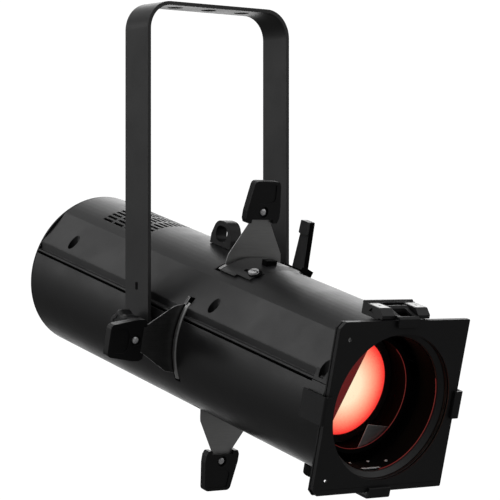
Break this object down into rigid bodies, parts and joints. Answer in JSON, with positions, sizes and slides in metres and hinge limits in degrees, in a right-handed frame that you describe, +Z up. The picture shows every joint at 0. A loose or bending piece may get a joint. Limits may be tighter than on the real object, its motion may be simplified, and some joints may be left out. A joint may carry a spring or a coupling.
{
  "type": "ellipsoidal spotlight",
  "caption": "Ellipsoidal profile spotlight with a long round barrel hung in a U-shaped yoke, framing shutters, a focusing lens tube and a latched colour-frame holder.",
  "frame": {"origin": "centre of the top face of the yoke's crossbar, on the axis of the clamp bolt hole", "axes": "+Z up along the clamp bolt, the beam leaves towards -Y and 14.6 degrees down at rest, X along the tilt axis"},
  "size_m": [0.338, 0.5509, 0.5158],
  "materials": {
    "powder_coat": "fine-textured matte black powder coat",
    "black_steel": "satin black painted sheet steel",
    "black_plastic": "black heat-resistant plastic with a fine grain",
    "shutter_steel": "dull satin stainless sheet",
    "bare_steel": "bright zinc-plated steel",
    "aluminium": "plain extruded aluminium",
    "circuit_board": "solder-masked board",
    "lens_glass": "clear polished glass",
    "dark_window": "smoked gloss window"
  },
  "bodies": {
    "yoke": {"yoke_strap": "powder_coat", "friction_washer_left": "black_plastic", "friction_washer_right": "black_plastic"},
    "tilt_knob": {"tilt_knob": "black_plastic"},
    "tilt_lever": {"tilt_lever": "black_plastic"},
    "focus_carriage": {"lens_cell": "black_steel", "front_lens": "lens_glass", "rear_lens": "lens_glass"},
    "focus_knob": {"focus_knob": "black_plastic"},
    "latch": {"latch_tongue": "black_steel"},
    "fan_rotor": {"fan_rotor": "black_plastic"},
    "leaf_top": {"shutter_leaf_top": "black_steel"},
    "shutter_top": {"shutter_blade_top": "shutter_steel", "shutter_handle_top": "black_plastic", "shutter_screw_top": "bare_steel"},
    "leaf_bottom": {"shutter_leaf_bottom": "black_steel"},
    "shutter_bottom": {"shutter_blade_bottom": "shutter_steel", "shutter_handle_bottom": "black_plastic", "shutter_screw_bottom": "bare_steel"},
    "leaf_left": {"shutter_leaf_left": "black_steel"},
    "shutter_left": {"shutter_blade_left": "shutter_steel", "shutter_handle_left": "black_plastic", "shutter_screw_left": "bare_steel"},
    "leaf_right": {"shutter_leaf_right": "black_steel"},
    "shutter_right": {"shutter_blade_right": "shutter_steel", "shutter_handle_right": "black_plastic", "shutter_screw_right": "bare_steel"},
    "button_1": {"menu_button_1": "black_plastic"},
    "button_2": {"menu_button_2": "black_plastic"},
    "button_3": {"menu_button_3": "black_plastic"},
    "button_4": {"menu_button_4": "black_plastic"},
    "barrel": {"upper_shell": "powder_coat", "lower_shell": "powder_coat", "rear_panel": "powder_coat", "slot_cover": "powder_coat", "optic_tube": "black_steel", "gate_rear_plate": "black_steel", "gate_front_plate": "black_steel", "front_hood": "black_steel", "frame_holder": "black_steel", "gel_frame": "black_steel", "latch_bracket": "black_steel", "safety_eye": "black_steel", "clip_left": "black_steel", "clip_right": "black_steel", "clip_bottom": "black_steel", "power_inlet": "black_plastic", "data_input": "black_plastic", "data_output": "black_plastic", "fan_frame": "black_plastic", "slot_cover_catch": "black_plastic", "pivot_stud_left": "bare_steel", "pivot_stud_right": "bare_steel", "latch_pin": "bare_steel", "slot_cover_screw": "bare_steel", "heat_sink": "aluminium", "power_supply": "aluminium", "led_board": "circuit_board", "condenser_lens": "lens_glass", "display_window": "dark_window"}
  },
  "joints": [
    {"name": "tilt", "type": "hinge", "parent": "yoke", "child": "barrel", "pos_m": [0, 0, -0.3373], "axis": [1, 0, 0], "range_deg": [-50, 105]},
    {"name": "tilt_knob_turn", "type": "hinge", "parent": "yoke", "child": "tilt_knob", "pos_m": [0, 0, -0.3373], "axis": [1, 0, 0], "continuous": true},
    {"name": "tilt_lever_swing", "type": "hinge", "parent": "yoke", "child": "tilt_lever", "pos_m": [0, 0, -0.3373], "axis": [1, 0, 0], "range_deg": [-60, 0]},
    {"name": "focus_slide", "type": "slide", "parent": "barrel", "child": "focus_carriage", "axis": [0, -0.9675, -0.2527], "range_m": [-0.03, 0.02]},
    {"name": "focus_knob_turn", "type": "hinge", "parent": "focus_carriage", "child": "focus_knob", "pos_m": [0, -0.18237, -0.47796], "axis": [0, 0.2527, -0.9675], "continuous": true},
    {"name": "latch_lift", "type": "hinge", "parent": "barrel", "child": "latch", "pos_m": [0, -0.29472, -0.31693], "axis": [-1, 0, 0], "range_deg": [0, 100], "stiffness_Nm_per_rad": 0.05, "springref_deg": -28.65},
    {"name": "fan_spin", "type": "hinge", "parent": "barrel", "child": "fan_rotor", "pos_m": [0, 0.17174, -0.29244], "axis": [0, -0.9675, -0.2527], "continuous": true},
    {"name": "shutter_top_swivel", "type": "hinge", "parent": "barrel", "child": "leaf_top", "pos_m": [0, -0.05505, -0.35168], "axis": [0, -0.9675, -0.2527], "range_deg": [-4, 4]},
    {"name": "shutter_top_slide", "type": "slide", "parent": "leaf_top", "child": "shutter_top", "axis": [0, 0.2527, -0.9675], "range_m": [0, 0.035]},
    {"name": "shutter_bottom_swivel", "type": "hinge", "parent": "barrel", "child": "leaf_bottom", "pos_m": [0, -0.05331, -0.35123], "axis": [0, -0.9675, -0.2527], "range_deg": [-4, 4]},
    {"name": "shutter_bottom_slide", "type": "slide", "parent": "leaf_bottom", "child": "shutter_bottom", "axis": [0, -0.2527, 0.9675], "range_m": [0, 0.035]},
    {"name": "shutter_left_swivel", "type": "hinge", "parent": "barrel", "child": "leaf_left", "pos_m": [0, -0.05157, -0.35077], "axis": [0, -0.9675, -0.2527], "range_deg": [-4, 4]},
    {"name": "shutter_left_slide", "type": "slide", "parent": "leaf_left", "child": "shutter_left", "axis": [1, 0, 0], "range_m": [0, 0.035]},
    {"name": "shutter_right_swivel", "type": "hinge", "parent": "barrel", "child": "leaf_right", "pos_m": [0, -0.05679, -0.35214], "axis": [0, -0.9675, -0.2527], "range_deg": [-4, 4]},
    {"name": "shutter_right_slide", "type": "slide", "parent": "leaf_right", "child": "shutter_right", "axis": [-1, 0, 0], "range_m": [0, 0.035]},
    {"name": "menu_button_1_press", "type": "slide", "parent": "barrel", "child": "button_1", "axis": [0, -0.9675, -0.2527], "range_m": [0, 0.0012], "stiffness_N_per_m": 300, "springref_m": -0.001},
    {"name": "menu_button_2_press", "type": "slide", "parent": "barrel", "child": "button_2", "axis": [0, -0.9675, -0.2527], "range_m": [0, 0.0012], "stiffness_N_per_m": 300, "springref_m": -0.001},
    {"name": "menu_button_3_press", "type": "slide", "parent": "barrel", "child": "button_3", "axis": [0, -0.9675, -0.2527], "range_m": [0, 0.0012], "stiffness_N_per_m": 300, "springref_m": -0.001},
    {"name": "menu_button_4_press", "type": "slide", "parent": "barrel", "child": "button_4", "axis": [0, -0.9675, -0.2527], "range_m": [0, 0.0012], "stiffness_N_per_m": 300, "springref_m": -0.001}
  ]
}
